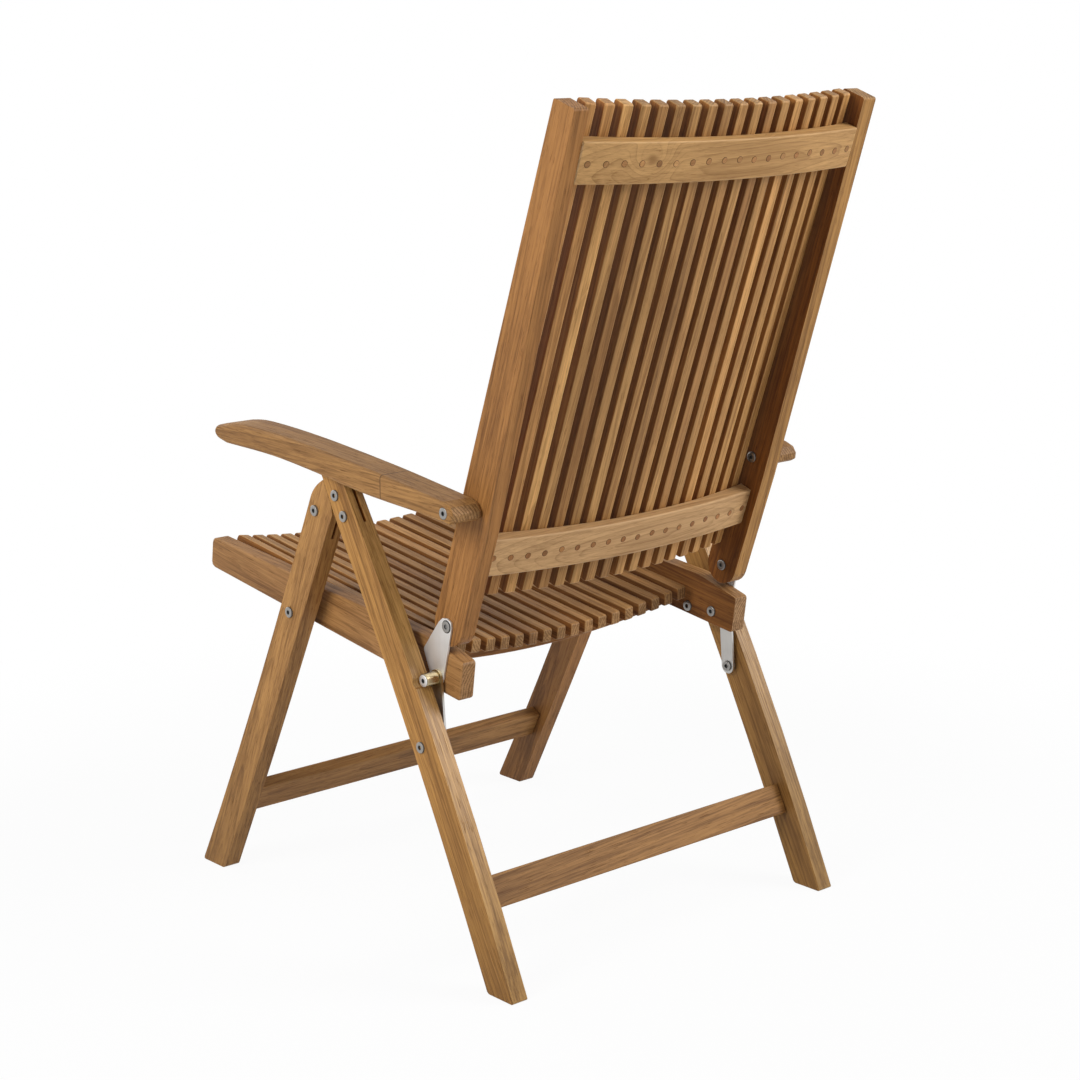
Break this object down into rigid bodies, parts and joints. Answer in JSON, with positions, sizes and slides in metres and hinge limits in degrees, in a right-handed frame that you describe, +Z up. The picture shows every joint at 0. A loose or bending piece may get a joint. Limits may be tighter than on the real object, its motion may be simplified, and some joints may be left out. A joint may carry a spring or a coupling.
{
  "type": "folding slatted armchair",
  "caption": "Folding teak armchair with bowed crossing legs, slatted seat, high slatted back, curved armrests and steel folding hardware.",
  "frame": {"origin": "on the floor, under the middle of the chair as it stands open", "axes": "+X to the left of a person who sits in it, +Y to the rear, +Z up"},
  "size_m": [0.6082, 0.7701, 1.0894],
  "materials": {
    "teak_frame": "smooth sanded, open-pored, unlacquered, straight grain",
    "teak_slats": "smooth sanded, each slat its own shade",
    "teak_arms": "smooth sanded, rounded edges",
    "teak_cross_rails": "smooth sanded, pale flat-sawn figure, plugged screw holes",
    "steel": "satin stainless, round heads with a hexagon socket, the lock pin tube slightly brassy"
  },
  "bodies": {
    "front_frame": {"front_leg_left": "teak_frame", "front_leg_right": "teak_frame", "front_stretcher": "teak_frame"},
    "rear_frame": {"rear_leg_left": "teak_frame", "rear_leg_right": "teak_frame", "rear_stretcher": "teak_frame"},
    "seat": {"seat_rail_left": "teak_frame", "seat_rail_right": "teak_frame", "seat_bearer_front": "teak_cross_rails", "seat_bearer_rear": "teak_cross_rails", "bracket_left": "steel", "bracket_right": "steel", "seat_slat_01": "teak_slats", "seat_slat_02": "teak_slats", "seat_slat_03": "teak_slats", "seat_slat_04": "teak_slats", "seat_slat_05": "teak_slats", "seat_slat_06": "teak_slats", "seat_slat_07": "teak_slats", "seat_slat_08": "teak_slats", "seat_slat_09": "teak_slats", "seat_slat_10": "teak_slats", "seat_slat_11": "teak_slats", "seat_slat_12": "teak_slats", "seat_slat_13": "teak_slats", "seat_slat_14": "teak_slats", "seat_slat_15": "teak_slats", "seat_slat_16": "teak_slats", "seat_slat_17": "teak_slats", "seat_slat_18": "teak_slats"},
    "strap_left": {"strap_left": "steel"},
    "strap_right": {"strap_right": "steel"},
    "backrest": {"back_stile_left": "teak_frame", "back_stile_right": "teak_frame", "back_rail_low": "teak_cross_rails", "back_rail_top": "teak_cross_rails", "stile_bolt_left": "steel", "stile_bolt_right": "steel", "back_slat_01": "teak_slats", "back_slat_02": "teak_slats", "back_slat_03": "teak_slats", "back_slat_04": "teak_slats", "back_slat_05": "teak_slats", "back_slat_06": "teak_slats", "back_slat_07": "teak_slats", "back_slat_08": "teak_slats", "back_slat_09": "teak_slats", "back_slat_10": "teak_slats", "back_slat_11": "teak_slats", "back_slat_12": "teak_slats", "back_slat_13": "teak_slats", "back_slat_14": "teak_slats", "back_slat_15": "teak_slats", "back_slat_16": "teak_slats", "back_slat_17": "teak_slats", "back_slat_18": "teak_slats"},
    "armrest_left": {"armrest_left": "teak_arms", "arm_bolt_left": "steel"},
    "armrest_right": {"armrest_right": "teak_arms", "arm_bolt_right": "steel"}
  },
  "joints": [
    {"name": "fold", "type": "hinge", "parent": "front_frame", "child": "seat", "pos_m": [0, -0.1437, 0.4108], "axis": [1, 0, 0], "range_deg": [-77.5, 0]},
    {"name": "rear_frame_fold", "type": "hinge", "parent": "front_frame", "child": "rear_frame", "pos_m": [0, -0.08, 0.5586], "axis": [1, 0, 0], "range_deg": [-48.1, 0]},
    {"name": "back_fold", "type": "hinge", "parent": "seat", "child": "backrest", "pos_m": [0, 0.1448, 0.4414], "axis": [1, 0, 0], "range_deg": [0, 98.1]},
    {"name": "strap_fold_left", "type": "hinge", "parent": "rear_frame", "child": "strap_left", "pos_m": [0, 0.1324, 0.2892], "axis": [1, 0, 0], "range_deg": [-126.2, 0]},
    {"name": "arm_fold_left", "type": "hinge", "parent": "backrest", "child": "armrest_left", "pos_m": [0, 0.1986, 0.59993], "axis": [1, 0, 0], "range_deg": [-121.6, 0]},
    {"name": "strap_fold_right", "type": "hinge", "parent": "rear_frame", "child": "strap_right", "pos_m": [0, 0.1324, 0.2892], "axis": [1, 0, 0], "range_deg": [-126.2, 0]},
    {"name": "arm_fold_right", "type": "hinge", "parent": "backrest", "child": "armrest_right", "pos_m": [0, 0.1986, 0.59993], "axis": [1, 0, 0], "range_deg": [-121.6, 0]}
  ],
  "couplings": [
    {"joint": "rear_frame_fold", "follows": "fold", "ratio": 0.6194},
    {"joint": "back_fold", "follows": "fold", "ratio": -1.2645},
    {"joint": "strap_fold_left", "follows": "fold", "ratio": 1.6266},
    {"joint": "arm_fold_left", "follows": "fold", "ratio": 1.5677},
    {"joint": "strap_fold_right", "follows": "fold", "ratio": 1.6266},
    {"joint": "arm_fold_right", "follows": "fold", "ratio": 1.5677}
  ]
}
